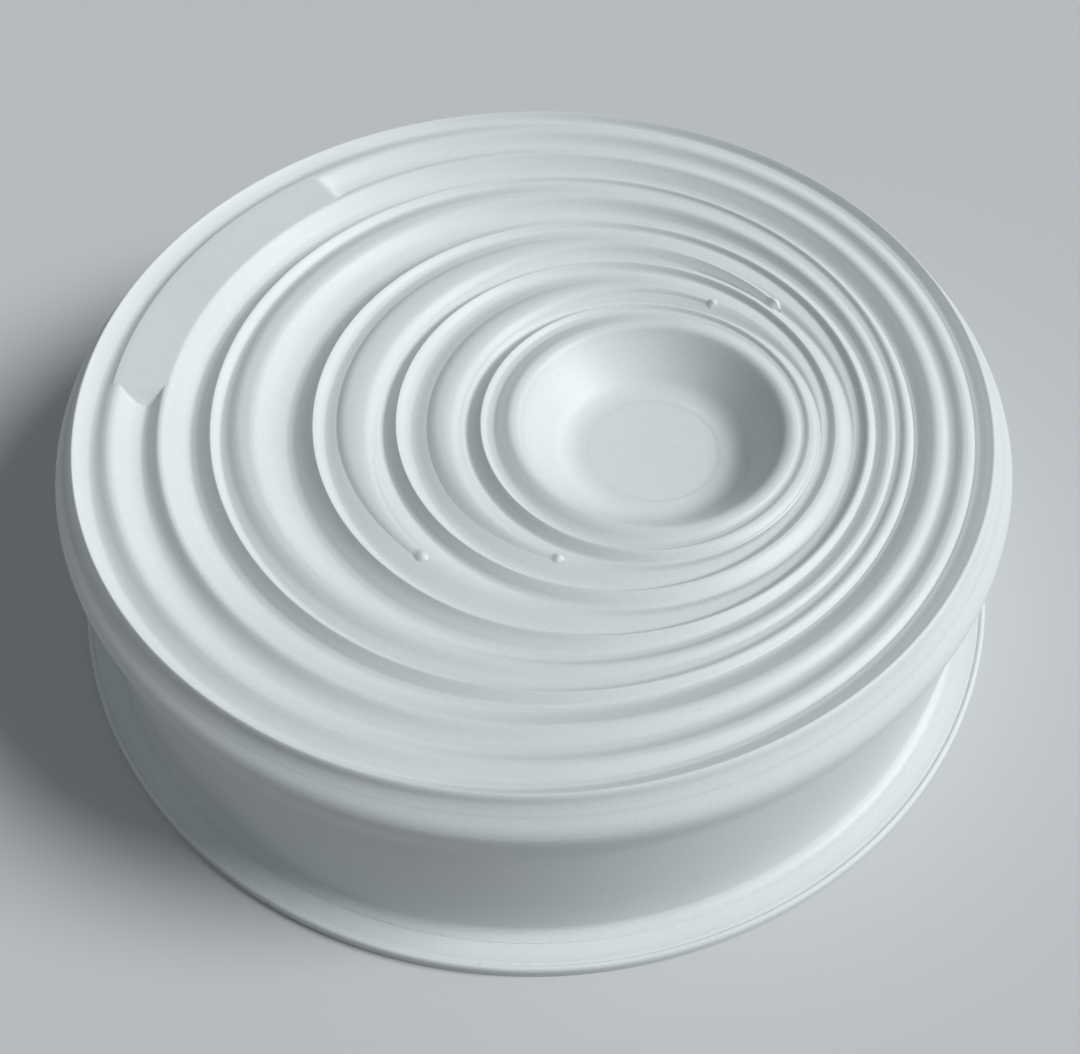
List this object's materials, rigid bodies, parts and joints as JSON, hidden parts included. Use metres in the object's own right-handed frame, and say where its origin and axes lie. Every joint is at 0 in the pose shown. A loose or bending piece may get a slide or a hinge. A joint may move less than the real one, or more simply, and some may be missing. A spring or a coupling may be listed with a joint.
{
  "type": "flexible ripple casting mould",
  "caption": "Round flexible silicone casting mould, shown mouth down, with off-centre ripple rings and a round well on its floor and a beaded flange round its mouth.",
  "frame": {"origin": "centre of the flange's underside, in the plane of the mould's mouth", "axes": "+Z out of the mouth plane towards the outside of the floor, so the mould lies mouth down; +X the way the rings drift, towards the well"},
  "size_m": [0.2012, 0.2012, 0.052],
  "materials": {
    "silicone": "satin"
  },
  "bodies": {
    "root": {"pouring_flange": "silicone", "flange_bead": "silicone", "flange_root": "silicone", "side_wall": "silicone", "shoulder": "silicone", "foot_ring": "silicone", "first_ripple_ring": "silicone", "label_pad": "silicone", "second_ripple_ring": "silicone", "third_step_ring": "silicone", "third_ripple_ring": "silicone", "fourth_step_ring": "silicone", "fourth_crescent_rib": "silicone", "fifth_step_ring": "silicone", "fifth_crescent_rib": "silicone", "sixth_step_ring": "silicone", "well_lip": "silicone", "well_wall": "silicone", "well_floor": "silicone"}
  },
  "joints": []
}
